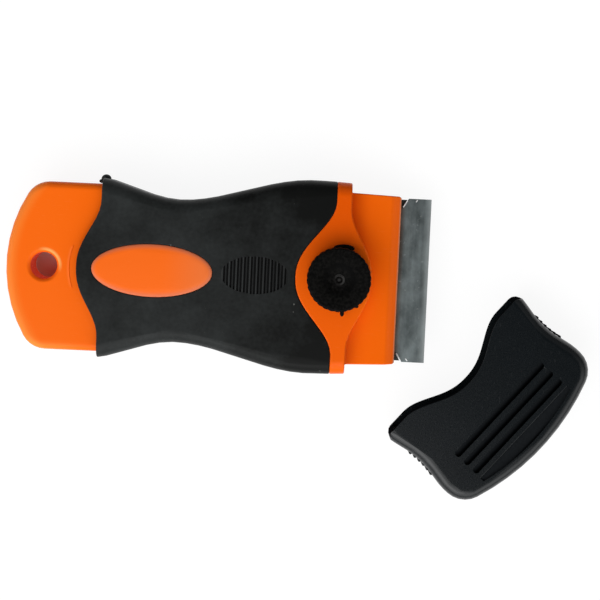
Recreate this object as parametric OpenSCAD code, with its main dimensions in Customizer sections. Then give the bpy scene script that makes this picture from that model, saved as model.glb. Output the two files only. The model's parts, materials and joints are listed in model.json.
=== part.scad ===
// Razor blade scraper: a two-shell moulded handle with a soft grip, a screw clamp for a
// single-edge blade, and a blade cap lying beside it. The origin is the middle of the hanging
// hole, in the plane where the two shells part, with +X towards the blade and +Z up. The
// modules build on the surface that the scraper lies on, and are lowered to the origin last.

/* [Handle] */
// Distance from the hanging hole's axis to the end of the tail
tail_len = 9; // [8:0.5:14]
// Width of the bare tail
tail_w = 39.6; // [37:0.2:42]
// Radius of the tail's rounded end
tail_end_r = 33; // [30:1:60]
// Radius of the tail's two corners, seen from above
tail_corner_r = 6; // [3:0.5:8]
// Radius of the hanging hole
hole_r = 3.1; // [2:0.1:4]
// Width of the chamfer around the hanging hole
hole_rim = 0.7; // [0.4:0.1:1.2]
// Distance from the hanging hole's axis to the knob's axis
knob_x = 69.5; // [66:0.5:80]
// Thickness of the handle over both grips
handle_t = 14; // [13.6:0.2:18]
// Radius of the handle's long edges
edge_r = 3.4; // [3:0.1:5]
// Wall thickness of the two shells
wall = 1.8; // [1.2:0.1:2.4]

/* [Grip] */
// Thickness of the soft grip over the shells
skin = 1.6; // [1:0.1:2.2]
// Distance from the hanging hole's axis to the grip's rear edge, at the sides
lip_x = 13.2; // [12.5:0.1:16]
// How far the rear edge of the grip swells towards the tail in the middle
rear_swell = 5.4; // [3:0.1:6]
// Distance from the hanging hole's axis to the waist
waist_x = 31.3; // [27:0.1:36]
// Width of the handle at the waist
waist_w = 33.7; // [30:0.1:38]
// Distance from the widest section back of the knob's axis to that axis
belly_back = 7; // [5:0.5:10]
// Width of the handle at its widest section
belly_w = 45.7; // [44:0.1:50]
// Length of the oval pad that shows through the grip
pad_len = 28.4; // [20:0.2:30]
// Width of the oval pad
pad_w = 12.4; // [8:0.2:14]
// Distance from the hanging hole's axis to the middle of the oval pad
pad_x = 25.6; // [24:0.2:27]
// Height of the oval pad over the grip
pad_crown = 0.5; // [0.2:0.1:1]
// Length of the ribbed thumb oval
thumb_len = 16; // [10:0.2:17]
// Width of the ribbed thumb oval
thumb_w = 8.8; // [6:0.2:12]
// Distance from the knob's axis back to the middle of the thumb oval
thumb_back = 19.7; // [19:0.1:22]
// Distance from one thumb rib to the next
rib_pitch = 0.8; // [0.75:0.05:1.6]
// Depth of the grooves between the thumb ribs
rib_depth = 0.6; // [0.3:0.1:0.9]

/* [Collar] */
// Width of the collar at its front edge
collar_w = 45.1; // [44:0.1:48]
// Distance from the knob's axis to the collar's front edge, at the sides
collar_front = 2.3; // [2.2:0.1:4]
// How far the collar's front edge swells forward around the knob
front_swell = 5.4; // [4:0.1:7]
// Distance from the collar's rear edge to the knob's axis, at the sides
collar_back = 1.2; // [0.8:0.1:2]
// How far the collar's rear edge swells back around the knob
back_swell = 9; // [7.8:0.1:10]

/* [Jaws] */
// How far each side of the upper jaw stands out past the blade
jaw_side = 0.8; // [0.7:0.1:1.4]
// How much each side of the upper jaw tapers in towards the nose
jaw_taper = 0.4; // [0.1:0.1:0.6]
// Distance from the knob's axis to the nose of the upper jaw
jaw_reach = 14.1; // [12:0.1:16]
// Thickness of the upper jaw
jaw_t = 3.8; // [3:0.1:4.4]
// Length of the bevel on the nose
bevel_len = 2.4; // [1:0.1:4]
// Drop of the bevel on the nose
bevel_drop = 1.8; // [0.8:0.1:2.4]
// How far each side of the clamp plate stays inside the blade's end
clamp_inset = 0.3; // [0.1:0.1:2]
// How far the clamp plate reaches in front of the upper jaw
clamp_lead = 2.8; // [1:0.1:4]
// Thickness of the clamp plate
clamp_t = 2.6; // [2:0.1:3]
// Thickness of the clamp plate's front edge
clamp_edge = 0.7; // [0.4:0.1:1.2]
// Radius of the boss that holds the nut in the clamp plate
clamp_boss_r = 7.4; // [6.5:0.1:7.6]

/* [Blade] */
// Length of the blade's edge
blade_w = 39; // [38:0.1:39.2]
// Height of the blade from its edge to the back of its spine
blade_h = 19; // [18:0.1:22]
// Thickness of the blade
blade_t = 0.25; // [0.2:0.01:0.3]
// Width of the ground edge
edge_grind = 1.5; // [0.8:0.1:2]
// Height of the folded spine
spine_h = 5; // [4:0.1:6]
// Thickness of the folded spine
spine_t = 0.94; // [0.8:0.02:1.2]
// Depth of the notches in the blade's two ends
notch_depth = 2.3; // [1:0.1:2.4]
// Width of the notches at the blade's ends
notch_w = 5.6; // [4:0.1:6]
// Distance from the blade's edge to the middle of the notches
notch_up = 8.2; // [7:0.1:8.4]

/* [Knob] */
// Diameter of the knob
knob_d = 15; // [12:0.1:17]
// Height of the knob
knob_h = 5; // [4.6:0.1:7]
// Diameter of the dish in the knob's top
dish_d = 8.4; // [6:0.1:9.6]
// Depth of the dish
dish_depth = 0.6; // [0.3:0.1:0.8]
// Number of grooves around the knob
knob_grooves = 30; // [18:1:36]
// Diameter of the clamp bolt
bolt_d = 4; // [3:0.1:4.2]
// Width across the flats of the bolt's head and of the nut
hex_w = 7; // [6.4:0.1:8]
// Thickness of the bolt's head
hex_head = 2.8; // [2:0.1:3]
// Thickness of the clamp nut
nut_t = 2.2; // [1.8:0.1:2.4]
// Clamp plate above the nut
nut_roof = 1.9; // [1.6:0.1:2.2]
// Diameter of the push-on washer
washer_d = 8; // [6.4:0.1:9]
// Thickness of the push-on washer
washer_t = 0.5; // [0.3:0.05:0.8]

/* [Screws] */
// Diameter of the self-tapping screws
screw_d = 2.4; // [2:0.1:2.6]
// Diameter of the screws' countersunk heads
screw_head_d = 4.2; // [3.6:0.1:4.4]
// Distance from the middle plane to the rear screws
rear_screw_y = 13.5; // [11:0.1:14.5]
// Distance from the middle plane to the front screws
front_screw_y = 11.4; // [11:0.1:12.4]
// Plastic left over the tips of the screws
screw_cover = 1.4; // [1:0.1:2.5]

/* [Cap] */
// Thickness of the cap's top and bottom walls
cap_wall = 1.6; // [1.4:0.1:2.4]
// Thickness of the cap's side walls at the widest section
cap_side = 2.5; // [2.2:0.1:3.4]
// Room in the cap in front of the blade's edge
tip_room = 6; // [4:0.1:9]
// Thickness of the cap's closed end
cap_end = 4; // [3.5:0.1:6]
// How much each side of the cap draws in at its waist
cap_waist = 1.2; // [0.5:0.1:1.3]
// Radius of the cap's closed end, seen from above
cap_end_r = 58; // [50:1:80]
// Radius of the cap's two far corners, seen from above
cap_corner_r = 6.2; // [5:0.1:8]
// Radius of the cap's long edges
cap_edge_r = 2.6; // [1.2:0.1:2.8]
// Depth of the pull slots in the cap's top
slot_depth = 0.8; // [0.4:0.1:1]
// Length of the pull slots
slot_len = 30; // [22:0.2:34]
// Width of a straight pull slot
slot_w = 1.6; // [1:0.1:2]
// Distance from one pull slot to the next
slot_pitch = 2.9; // [2.6:0.1:3.4]
// Distance from the last slot's far edge to the cap's closed end
slot_margin = 2.9; // [2:0.1:4]
// Number of grip ribs on each side of the cap
side_ribs = 6; // [3:1:6]
// Place of the cap's mouth along X
cap_x = 97.5; // [95:0.1:140]
// Place of the cap's mouth along Y
cap_y = -19.6; // [-80:0.1:-18]
// Turn of the cap about the vertical
cap_turn = -40.3; // [-60:0.1:-30]

/* [Hidden] */
$fn = 48;

// Clearances
run_gap = 0.05;
slide_gap = 0.25;
blade_gap = 0.03;
cap_gap = 0.25;
seat_gap = 0.1;
through = 1;

// Steps along outlines and around rounded edges
side_steps = 26;
cap_steps = 14;
corner_steps = 5;
end_steps = 4;
arc_steps = 6;
wave_steps = 32;
oval_steps = 48;

// Heights
mid_z = handle_t / 2;
core_h = mid_z - skin;
core_r = edge_r - skin;
jaw_gap = spine_t + 2 * blade_gap;
clamp_top = mid_z - jaw_gap;
clamp_low = clamp_top - clamp_t;
blade_z = mid_z - jaw_gap / 2;
nut_recess = 0.2;
boss_low = clamp_top - nut_roof - nut_t - nut_recess;

// Places along X
front_x = knob_x + collar_front;
belly_x = knob_x - belly_back;
thumb_x = knob_x - thumb_back;
nose_x = knob_x + jaw_reach;
clamp_back = front_x + slide_gap;
spine_x = front_x + run_gap;
edge_x = spine_x + blade_h;
spine_wall = (spine_t - blade_t) / 2;
rear_screw_x = 1;
front_screw_back = 0.2;
front_screw_x = knob_x - front_screw_back;
cheek_lead = 1;

// Widths of the jaws and outlines
jaw_w = blade_w + 2 * jaw_side;
clamp_w = blade_w - 2 * clamp_inset;
lip_w = tail_w + 2 * skin;
outline_reach = max(belly_w, collar_w, lip_w) / 2 + through;
rear_reach = 16;
back_reach = 18;
front_reach = 16.5;
swell_power = 1.15;
flare_slope = 1.1;

// Knob
knob_lip = 0.6;
groove_r = 0.35;
gate_r = 1;
knob_low = handle_t + seat_gap;
head_low = knob_low + knob_lip;

// Cap
cap_stack = jaw_t + jaw_gap + clamp_t;
cap_t = cap_stack + 2 * cap_gap + 2 * cap_wall;
cavity_w = jaw_w + 2 * cap_gap;
cavity_len = run_gap + blade_h + tip_room;
cap_w = cavity_w + 2 * cap_side;
cap_len = cavity_len + cap_end;
cavity_r = 5;
mouth_room = 5;
mouth_corner_r = 2;
bow_w = 3.1;
slot_step = slot_depth / 3;
side_rib_r = 0.4;
side_rib_pitch = 1.4;
side_rib_start = 7;

// Colours
orange = [0.95, 0.38, 0.05];
soft_black = [0.13, 0.14, 0.14];
hard_black = [0.09, 0.10, 0.11];
steel = [0.60, 0.62, 0.63];

// A smooth step from 0 to 1
function smooth(t) = t * t * (3 - 2 * t);

// A step from 0 to 1 that leaves flat and arrives on a slope
function flare(t) = t * t * (1 + flare_slope * (1 - t));

// A smooth swell of height 1 at y = 0 that dies out at the given reach
function swell(y, reach) = (1 + cos(180 * pow(min(1, abs(y) / reach), swell_power))) / 2;

// Evenly spaced values from a to b
function spread(a, b, n) = [for (i = [0:n]) a + (b - a) * i / n];

// A list in the other order
function flip(list) = [for (i = [len(list) - 1:-1:0]) list[i]];

// Points on an arc
function arc(c, r, a, b, n) = [for (t = spread(a, b, n)) c + r * [cos(t), sin(t)]];

// Points on an ellipse
function oval(c, a, b) = [for (i = [0:oval_steps - 1])
    let (t = 360 * i / oval_steps) c + [a * cos(t), b * sin(t)]];

// A closed outline from its lower half, given from one end to the other
function both_sides(half) = concat(half, [for (p = flip(half)) [p.x, -p.y]]);

// Outward directions at the points of a closed outline that runs anticlockwise
function normals(o) = let (n = len(o)) [for (i = [0:n - 1])
    let (t = o[(i + 1) % n] - o[(i + n - 1) % n]) [t.y, -t.x] / norm(t)];

// A closed outline moved inwards
function inset(o, d) = let (v = normals(o)) [for (i = [0:len(o) - 1]) o[i] - d * v[i]];

// Half the handle's width at x
function handle_half(x) =
    x < lip_x ? lip_w / 2 :
    x < waist_x ? waist_w / 2 + (lip_w - waist_w) / 2 * flare((waist_x - x) / (waist_x - lip_x)) :
    x < belly_x ? waist_w / 2 + (belly_w - waist_w) / 2 * smooth((x - waist_x) / (belly_x - waist_x)) :
    belly_w / 2 + (collar_w - belly_w) / 2 * pow((x - belly_x) / (front_x - belly_x), 2);

// Rear edge of the grip, rear edge of the collar, and front edge of the collar
function grip_rear(y) = lip_x - rear_swell * swell(y, rear_reach);
function collar_rear(y) = knob_x - collar_back - back_swell * swell(y, back_reach);
function collar_edge(y, depth) = front_x + depth * swell(y, front_reach);

// Outline of the handle over the grip and collar, running past both ends
function skin_outline() = both_sides(
    [for (x = spread(0, front_x + front_swell + edge_r, side_steps)) [x, -handle_half(x)]]);

// Outline of the shells under the grip, with the tail, running past the collar
function core_outline() = let (
    half = tail_w / 2,
    end_c = tail_end_r - tail_len,
    reach = sqrt(pow(tail_end_r - tail_corner_r, 2) - pow(half - tail_corner_r, 2)),
    corner = [end_c - reach, tail_corner_r - half],
    lean = atan2(-corner.y, reach),
    step = lean / (end_steps + 0.5)) both_sides(concat(
    arc([end_c, 0], tail_end_r, 180 + step / 2, 180 + lean - step, end_steps - 1),
    arc(corner, tail_corner_r, 180 + lean, 270, corner_steps),
    [for (x = spread(lip_x, front_x + core_r, side_steps)) [x, skin - handle_half(x)]]));

// A half body with its flat face on z = 0 and a rounded edge at its height h, from an outline
// whose second half mirrors the first
module half_body(outline, h, r) {
    n = len(outline);
    turns = spread(0, 90, arc_steps);
    rings = concat(
        [[for (p = outline) [p.x, p.y, 0]]],
        [for (a = turns) [for (p = inset(outline, r * (1 - cos(a)))) [p.x, p.y, h - r + r * sin(a)]]]);
    points = [for (ring = rings) each ring];
    last = len(rings) - 1;
    sides = [for (k = [0:last - 1]) for (i = [0:n - 1]) let (j = (i + 1) % n, a = k * n, b = a + n)
        each [[a + i, b + i, b + j], [a + i, b + j, a + j]]];
    bottom = [for (i = [0:n / 2 - 2]) [i, i + 1, n - 2 - i, n - 1 - i]];
    top = [for (quad = bottom) [for (i = flip(quad)) last * n + i]];
    polyhedron(points, concat(bottom, top, sides), convexity = 6);
}

// Places the upper half on the parting plane, or the lower half under it
module on_parting(upper) {
    translate([0, 0, mid_z])
        mirror([0, 0, upper ? 0 : 1])
            children();
}

// The strip between two wavy edges given as lists of x, from side to side
module wavy_strip(rear, front, ys) {
    translate([0, 0, -through])
        linear_extrude(handle_t + 2 * through)
            polygon(concat([for (i = [0:len(ys) - 1]) [rear[i], ys[i]]],
                           [for (i = [len(ys) - 1:-1:0]) [front[i], ys[i]]]));
}

// Footprint of the grip
module grip_strip() {
    ys = spread(-outline_reach, outline_reach, wave_steps);
    wavy_strip([for (y = ys) grip_rear(y)], [for (y = ys) collar_rear(y)], ys);
}

// Footprint of the collar, with its front edge swelling by the given depth
module collar_strip(depth) {
    ys = spread(-outline_reach, outline_reach, wave_steps);
    wavy_strip([for (y = ys) collar_rear(y)], [for (y = ys) collar_edge(y, depth)], ys);
}

// Soft grip of one half, without its details
module grip_half(upper) {
    difference() {
        intersection() {
            on_parting(upper) half_body(skin_outline(), mid_z, edge_r);
            grip_strip();
        }
        on_parting(upper)
            translate([0, 0, -through])
                half_body(core_outline(), core_h + through, core_r);
    }
}

// What lies past the parting plane, cut off so that a half has one flat face there
module parting_cut(upper) {
    on_parting(!upper)
        translate([-2 * tail_len, -2 * outline_reach, 0])
            cube([2 * nose_x, 4 * outline_reach, handle_t]);
}

// Shell of one half: tail and core, with the collar on top of them
module shell_half(upper) {
    difference() {
        on_parting(upper)
            translate([0, 0, -through])
                half_body(core_outline(), core_h + through, core_r);
        parting_cut(upper);
        translate([knob_x, -2 * outline_reach, -through])
            cube([nose_x, 4 * outline_reach, handle_t + 2 * through]);
    }
    difference() {
        intersection() {
            on_parting(upper)
                translate([0, 0, -2 * through])
                    half_body(skin_outline(), mid_z + 2 * through, edge_r);
            collar_strip(upper ? front_swell : 0);
        }
        parting_cut(upper);
    }
}

// Hollow of one half, closed in front of the thumb oval
module hollow(upper) {
    cover = collar_rear(0) - wall;
    on_parting(upper)
        translate([0, 0, -through])
            linear_extrude(core_h - wall + through)
                intersection() {
                    polygon(inset(core_outline(), wall));
                    translate([-tail_len, -outline_reach])
                        square([cover + tail_len, 2 * outline_reach]);
                }
}

// The places of the four shell screws
screw_places = [[rear_screw_x, -rear_screw_y], [rear_screw_x, rear_screw_y],
                [front_screw_x, -front_screw_y], [front_screw_x, front_screw_y]];

// Bottom of the shell at a screw: the tail is thinner than the collar
function screw_low(place) = place.x < lip_x ? skin : 0;

// Columns for the rear screws and the hanging hole inside one half
module columns(upper) {
    on_parting(upper) {
        for (side = [-1, 1])
            translate([rear_screw_x, side * rear_screw_y, 0])
                cylinder(d = screw_head_d + 2 * wall, h = core_h - wall / 2);
        cylinder(r = hole_r + hole_rim + wall, h = core_h - wall / 2);
    }
}

// Hanging hole through both halves, chamfered at both faces
module hanging_hole() {
    translate([0, 0, -through])
        cylinder(r = hole_r, h = handle_t + 2 * through);
    for (upper = [true, false])
        on_parting(upper)
            translate([0, 0, core_h - hole_rim])
                cylinder(r1 = hole_r, r2 = hole_r + 2 * hole_rim, h = 2 * hole_rim);
}

// A prism along Y from a profile in X and Z
module profile_prism(points, w) {
    translate([0, w / 2, 0])
        rotate([90, 0, 0])
            linear_extrude(w)
                polygon(points);
}

// Footprint of the upper jaw
module jaw_plan() {
    half = jaw_w / 2;
    tip = half - jaw_taper;
    nip = jaw_taper;
    linear_extrude(handle_t)
        polygon([[knob_x, -half], [front_x, -half], [nose_x - nip, -tip], [nose_x, nip - tip],
                 [nose_x, tip - nip], [nose_x - nip, tip], [front_x, half], [knob_x, half]]);
}

// Upper jaw: the front plate with its bevelled nose and two cheeks beside the spine
module upper_jaw() {
    top = mid_z + jaw_t;
    cheek = blade_w / 2 + slide_gap;
    intersection() {
        jaw_plan();
        union() {
            profile_prism([[knob_x, mid_z], [nose_x, mid_z], [nose_x, top - bevel_drop],
                           [nose_x - bevel_len, top], [knob_x, top]], jaw_w + through);
            for (side = [0, 1])
                mirror([0, side, 0])
                    translate([front_x, cheek, clamp_top])
                        cube([spine_h + cheek_lead, jaw_w, jaw_gap + jaw_t / 2]);
        }
    }
}

// Crowned oval pad that fills the window in the grip
module oval_pad() {
    rise = skin + pad_crown;
    hull()
        for (a = spread(0, 90, arc_steps))
            let (draw = rise * (1 - cos(a)))
                translate([0, 0, handle_t - skin - wall / 2])
                    linear_extrude(wall / 2 + skin + pad_crown * sin(a))
                        polygon(oval([pad_x, 0], pad_len / 2 - draw, pad_w / 2 - draw));
}

module upper_shell() {
    washer_seat = washer_t + 3 * seat_gap;
    color(orange)
        difference() {
            union() {
                difference() {
                    union() {
                        shell_half(true);
                        upper_jaw();
                        oval_pad();
                    }
                    hollow(true);
                }
                columns(true);
            }
            hanging_hole();
            translate([knob_x, 0, 0])
                cylinder(d = bolt_d + 2 * run_gap, h = handle_t + through);
            translate([knob_x, 0, mid_z - through])
                cylinder(d = washer_d + 2 * slide_gap, h = washer_seat + through);
            for (p = screw_places)
                translate([p.x, p.y, 0])
                    cylinder(d = screw_d, h = handle_t - skin - screw_cover);
        }
}

module upper_grip() {
    grooves = floor((thumb_len - rib_pitch) / rib_pitch);
    color(soft_black)
        difference() {
            grip_half(true);
            linear_extrude(handle_t + through)
                polygon(oval([pad_x, 0], pad_len / 2, pad_w / 2));
            translate([0, 0, handle_t - rib_depth])
                linear_extrude(rib_depth + through)
                    intersection() {
                        polygon(oval([thumb_x, 0], thumb_len / 2, thumb_w / 2));
                        for (i = [0:grooves])
                            translate([thumb_x + (i - grooves / 2) * rib_pitch - rib_pitch / 4, -thumb_w / 2])
                                square([rib_pitch / 2, thumb_w]);
                    }
        }
}

module lower_shell() {
    slot_r = clamp_boss_r + slide_gap;
    color(orange)
        difference() {
            union() {
                difference() {
                    shell_half(false);
                    hollow(false);
                }
                columns(false);
            }
            hanging_hole();
            translate([knob_x, 0, -through])
                cylinder(r = slot_r, h = handle_t);
            translate([knob_x, -slot_r, -through])
                cube([collar_front + through, 2 * slot_r, handle_t]);
            for (p = screw_places)
                translate([p.x, p.y, screw_low(p)])
                    screw_cut();
        }
}

// Clearance for one countersunk screw
module screw_cut() {
    sink = (screw_head_d - screw_d) / 2;
    translate([0, 0, -through])
        cylinder(d = screw_d, h = handle_t);
    translate([0, 0, -through])
        cylinder(d = screw_head_d, h = through + seat_gap);
    translate([0, 0, seat_gap])
        cylinder(d1 = screw_head_d, d2 = screw_d, h = sink);
}

module lower_grip() {
    color(soft_black)
        grip_half(false);
}

module shell_screws() {
    sink = (screw_head_d - screw_d) / 2;
    color(steel)
        for (p = screw_places)
            translate([p.x, p.y, screw_low(p) + seat_gap]) {
                cylinder(d1 = screw_head_d, d2 = screw_d, h = sink);
                cylinder(d = screw_d, h = handle_t - skin - screw_cover - screw_low(p) - 2 * seat_gap);
            }
}

module clamp_plate() {
    tip_x = nose_x + clamp_lead;
    color(hard_black)
        difference() {
            union() {
                profile_prism([[clamp_back, clamp_low], [nose_x - bevel_len, clamp_low],
                               [tip_x, clamp_top - clamp_edge], [tip_x, clamp_top],
                               [clamp_back, clamp_top]], clamp_w);
                translate([knob_x, 0, boss_low])
                    cylinder(r = clamp_boss_r, h = clamp_top - boss_low);
            }
            translate([knob_x, 0, boss_low - through])
                cylinder(d = hex_w / cos(30), h = nut_recess + nut_t + through, $fn = 6);
            translate([knob_x, 0, boss_low])
                cylinder(d = bolt_d + 2 * slide_gap, h = handle_t);
        }
}

module clamp_nut() {
    color(steel)
        translate([knob_x, 0, boss_low + nut_recess])
            difference() {
                cylinder(d = hex_w / cos(30), h = nut_t, $fn = 6);
                translate([0, 0, -through])
                    cylinder(d = bolt_d + 2 * run_gap, h = nut_t + 2 * through);
            }
}

module blade() {
    back = spine_x + spine_wall;
    grind = edge_x - edge_grind;
    notch_x = edge_x - notch_up;
    color(steel)
        difference() {
            profile_prism([[back, blade_z - blade_t / 2], [grind, blade_z - blade_t / 2], [edge_x, blade_z],
                           [grind, blade_z + blade_t / 2], [back, blade_z + blade_t / 2]], blade_w);
            for (side = [0, 1])
                mirror([0, side, 0])
                    translate([notch_x, blade_w / 2, 0])
                        linear_extrude(handle_t)
                            polygon([[-notch_w / 2, 0], [-notch_w / 4, -notch_depth],
                                     [notch_w / 4, -notch_depth], [notch_w / 2, 0],
                                     [notch_w / 2, through], [-notch_w / 2, through]]);
        }
}

module blade_spine() {
    low = blade_z - spine_t / 2;
    high = blade_z + spine_t / 2;
    fold = spine_x + spine_wall;
    front = spine_x + spine_h;
    color(steel)
        profile_prism([[spine_x, low], [front, low], [front, blade_z - blade_t / 2],
                       [fold, blade_z - blade_t / 2], [fold, blade_z + blade_t / 2],
                       [front, blade_z + blade_t / 2], [front, high], [spine_x, high]], blade_w);
}

module knob() {
    r = knob_d / 2;
    top = knob_low + knob_h;
    floor_z = top - dish_depth;
    color(hard_black)
        translate([knob_x, 0, 0])
            difference() {
                rotate_extrude($fn = 96)
                    polygon([[0, knob_low], [r - knob_lip, knob_low], [r, knob_low + knob_lip],
                             [r, top - knob_lip], [r - knob_lip, top], [dish_d / 2, top],
                             [dish_d / 2 - dish_depth, floor_z], [gate_r, floor_z],
                             [gate_r, floor_z + dish_depth / 2], [0, floor_z + dish_depth / 2]]);
                for (i = [0:knob_grooves - 1])
                    rotate(360 * i / knob_grooves)
                        translate([r + groove_r / 3, 0, knob_low - through])
                            cylinder(r = groove_r, h = knob_h + 2 * through);
                translate([0, 0, knob_low - through])
                    cylinder(d = bolt_d, h = through + knob_lip + hex_head);
                translate([0, 0, head_low])
                    cylinder(d = hex_w / cos(30), h = hex_head, $fn = 6);
            }
}

module knob_bolt() {
    tip = boss_low - seat_gap;
    color(steel)
        translate([knob_x, 0, 0]) {
            translate([0, 0, head_low])
                cylinder(d = hex_w / cos(30), h = hex_head, $fn = 6);
            translate([0, 0, tip])
                cylinder(d = bolt_d, h = head_low - tip);
        }
}

module push_washer() {
    color(steel)
        translate([knob_x, 0, mid_z + 2 * seat_gap])
            difference() {
                cylinder(d = washer_d, h = washer_t);
                translate([0, 0, -through])
                    cylinder(d = bolt_d, h = washer_t + 2 * through);
            }
}

// Half the cap's width at a distance u from its mouth, up to the widest section
function cap_half(u) = let (widest = cap_len - tip_room - cap_end)
    cap_w / 2 - cap_waist * swell(u - widest / 2, widest / 2);

// Centre of the closed end's arc, on the cap's middle line
cap_end_c = cap_len - cap_end_r;

// Outline of the cap before its mouth is cut, running past the mouth
function cap_outline() = let (
    half = cap_w / 2,
    reach = sqrt(pow(cap_end_r - cap_corner_r, 2) - pow(half - cap_corner_r, 2)),
    corner = [cap_end_c + reach, cap_corner_r - half],
    lean = atan2(-corner.y, reach),
    step = lean / (end_steps + 0.5),
    us = concat([through - mouth_room], spread(0, corner.x, cap_steps))) both_sides(concat(
    [for (i = [0:len(us) - 2]) [us[i], -cap_half(us[i])]],
    arc(corner, cap_corner_r, -90, -lean, corner_steps),
    arc([cap_end_c, 0], cap_end_r, step - lean, -step / 2, end_steps - 1)));

// How far the mouth is rounded back at its two corners
function mouth_corner(y) = let (d = abs(y) - cap_half(0) + mouth_corner_r)
    d <= 0 ? 0 : mouth_corner_r - sqrt(max(0, pow(mouth_corner_r, 2) - d * d));

// Space in front of the cap's mouth: the mirror of the collar's front edge, with round corners
module mouth_cut() {
    reach = cap_w / 2 + through;
    ys = spread(-reach, reach, 2 * wave_steps);
    translate([0, 0, -through])
        linear_extrude(cap_t + 2 * through)
            polygon(concat([for (y = ys) [front_swell * swell(y, front_reach) + mouth_corner(y), y]],
                           [[-mouth_room, reach], [-mouth_room, -reach]]));
}

// Space over a slot's floor, which slopes down to a steep far wall
module slot_space(u0, u1) {
    profile_prism([[u0, cap_t - slot_step], [u1, cap_t - slot_depth], [u1, cap_t + through],
                   [u0, cap_t + through]], slot_len);
}

// Footprint of a straight slot, with round ends
module slot_plan(u) {
    r = slot_w / 2;
    flat = slot_len - slot_w;
    translate([u, -flat / 2, 0])
        cube([slot_w, flat, cap_t + through]);
    for (side = [-1, 1])
        translate([u + r, side * flat / 2, 0])
            cylinder(r = r, h = cap_t + through);
}

// Pull slots: three straight ones and a last one that follows the closed end
module pull_slots() {
    last = cap_len - slot_margin;
    for (i = [1:3])
        let (u = last - bow_w - i * slot_pitch)
            intersection() {
                slot_space(u, u + slot_w);
                slot_plan(u);
            }
    intersection() {
        slot_space(last - bow_w, last + seat_gap);
        translate([cap_end_c, 0, 0])
            cylinder(r = cap_end_r - slot_margin, h = cap_t + 2 * through, $fn = 96);
    }
}

// Room inside the cap for the jaws and the blade, with round far corners
module cap_room() {
    flat = cavity_len - cavity_r;
    corner_y = cavity_w / 2 - cavity_r;
    room_h = cap_t - 2 * cap_wall;
    translate([-mouth_room, -cavity_w / 2, cap_wall])
        cube([flat + mouth_room, cavity_w, room_h]);
    translate([0, -corner_y, cap_wall])
        cube([cavity_len, 2 * corner_y, room_h]);
    for (side = [-1, 1])
        translate([flat, side * corner_y, cap_wall])
            cylinder(r = cavity_r, h = room_h);
}

module blade_cap() {
    color(hard_black)
        translate([cap_x, cap_y, 0])
            rotate(cap_turn)
                difference() {
                    union() {
                        for (low = [0, 1])
                            translate([0, 0, cap_t / 2])
                                mirror([0, 0, low])
                                    half_body(cap_outline(), cap_t / 2, cap_edge_r);
                        for (side = [-1, 1], i = [0:side_ribs - 1])
                            let (u = side_rib_start + i * side_rib_pitch)
                                translate([u, side * cap_half(u), cap_edge_r])
                                    cylinder(r = side_rib_r, h = cap_t - 2 * cap_edge_r);
                    }
                    mouth_cut();
                    pull_slots();
                    cap_room();
                }
}

// Lowers a piece so that the parting plane is at z = 0
module lowered() {
    translate([0, 0, -mid_z])
        children();
}

lowered() upper_shell();
lowered() upper_grip();
lowered() lower_shell();
lowered() lower_grip();
lowered() shell_screws();
lowered() clamp_plate();
lowered() clamp_nut();
lowered() blade();
lowered() blade_spine();
lowered() knob();
lowered() knob_bolt();
lowered() push_washer();
lowered() blade_cap();
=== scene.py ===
# %% [markdown]
# # A razor blade scraper
# The scraper is a moulded handle of two orange shells under a soft black grip. A screw clamp at
# its front holds a single-edge blade, and the blade's cap lies beside it. The solids come from
# the CAD model at their true size and place, so this lesson dresses them: it rounds the moulded
# edges, models the pieces that need finer forms, and gives each surface its finish.

# %% Load the solids
import json
import math

import bmesh
import bpy
from mathutils import Matrix, Vector

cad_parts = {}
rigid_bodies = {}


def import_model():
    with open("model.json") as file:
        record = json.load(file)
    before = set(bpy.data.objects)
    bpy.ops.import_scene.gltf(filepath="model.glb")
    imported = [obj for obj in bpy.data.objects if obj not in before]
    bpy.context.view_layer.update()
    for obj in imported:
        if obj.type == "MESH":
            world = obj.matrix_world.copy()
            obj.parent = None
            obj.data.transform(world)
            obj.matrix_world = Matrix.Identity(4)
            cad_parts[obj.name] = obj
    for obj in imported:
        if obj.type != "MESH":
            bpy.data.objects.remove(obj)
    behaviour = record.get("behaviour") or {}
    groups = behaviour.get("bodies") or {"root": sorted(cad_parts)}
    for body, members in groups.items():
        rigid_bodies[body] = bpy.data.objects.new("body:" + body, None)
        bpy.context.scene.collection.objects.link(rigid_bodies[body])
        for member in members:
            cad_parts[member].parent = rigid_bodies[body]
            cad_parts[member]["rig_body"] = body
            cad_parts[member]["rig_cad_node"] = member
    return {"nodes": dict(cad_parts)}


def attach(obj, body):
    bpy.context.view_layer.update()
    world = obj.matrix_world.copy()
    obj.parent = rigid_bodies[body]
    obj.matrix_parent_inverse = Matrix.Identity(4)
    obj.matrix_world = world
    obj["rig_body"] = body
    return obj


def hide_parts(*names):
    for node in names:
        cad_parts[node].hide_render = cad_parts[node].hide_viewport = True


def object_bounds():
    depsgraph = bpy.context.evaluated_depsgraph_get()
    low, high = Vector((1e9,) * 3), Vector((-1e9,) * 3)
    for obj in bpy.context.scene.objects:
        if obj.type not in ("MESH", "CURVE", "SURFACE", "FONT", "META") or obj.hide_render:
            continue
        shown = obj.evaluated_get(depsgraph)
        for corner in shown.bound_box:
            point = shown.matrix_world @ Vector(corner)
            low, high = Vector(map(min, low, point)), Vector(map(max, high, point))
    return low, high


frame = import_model()
cad_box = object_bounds()
MM = 0.001
print("solids, in mm:", [[round(c / MM, 1) for c in corner] for corner in cad_box])

# %% [markdown]
# ## The camera
# The photograph looks almost straight down, leaning a few degrees, with the tool turned slightly
# clockwise. A camera can be aimed with a constraint, but then its roll is hard to set. Here its
# three axes are worked out and written as one matrix, so the roll is a plain angle.

# %% Camera
def deselect():
    if bpy.context.mode != "OBJECT":
        bpy.ops.object.mode_set(mode="OBJECT")
    bpy.ops.object.select_all(action="DESELECT")


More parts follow.
